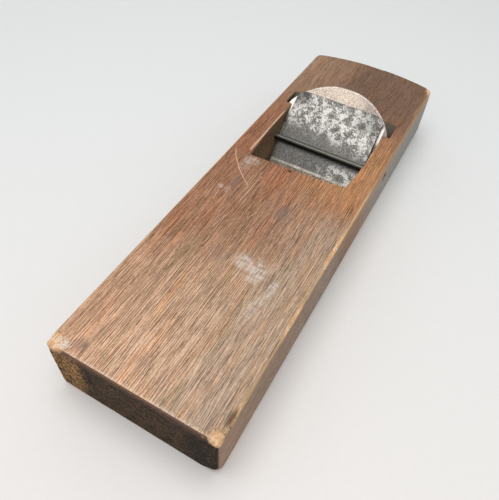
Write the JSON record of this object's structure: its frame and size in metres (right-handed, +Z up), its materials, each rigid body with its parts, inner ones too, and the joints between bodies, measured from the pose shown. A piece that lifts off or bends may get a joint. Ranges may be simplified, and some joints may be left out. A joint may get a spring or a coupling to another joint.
{
  "type": "hand plane",
  "caption": "Wooden pull-type hand plane: a hardwood block with a slanted throat, a wedge-shaped laminated blade, a chipbreaker lying on it and a steel pressing pin.",
  "frame": {"origin": "on the sole, under the middle of the block's length and width", "axes": "+X along the block to the bowed head end behind the blade, +Y to the left seen from the tail, +Z up"},
  "size_m": [0.293, 0.088, 0.0507],
  "materials": {
    "body_wood": "worn bare oak, handled dark, with fine open pores",
    "pin_steel": "dark aged steel wire, dull sheen",
    "blade_iron": "soft iron with a fine speckled rust bloom, bright worn rim",
    "blade_steel": "bright ground hard steel",
    "chipbreaker_iron": "dark grey aged iron with pale blotches, worn matt",
    "chipbreaker_steel": "ground hard steel"
  },
  "bodies": {
    "body": {"wooden_body": "body_wood", "pin": "pin_steel"},
    "blade": {"blade_iron": "blade_iron", "blade_steel": "blade_steel"},
    "chipbreaker": {"chipbreaker_iron": "chipbreaker_iron", "chipbreaker_steel": "chipbreaker_steel"}
  },
  "joints": [
    {"name": "blade_slide", "type": "slide", "parent": "body", "child": "blade", "axis": [0.7815, 0, 0.6239], "range_m": [-0.0008, 0.06]},
    {"name": "chipbreaker_slide", "type": "slide", "parent": "blade", "child": "chipbreaker", "axis": [0.766, 0, 0.6428], "range_m": [-0.0096, 0.05]}
  ]
}
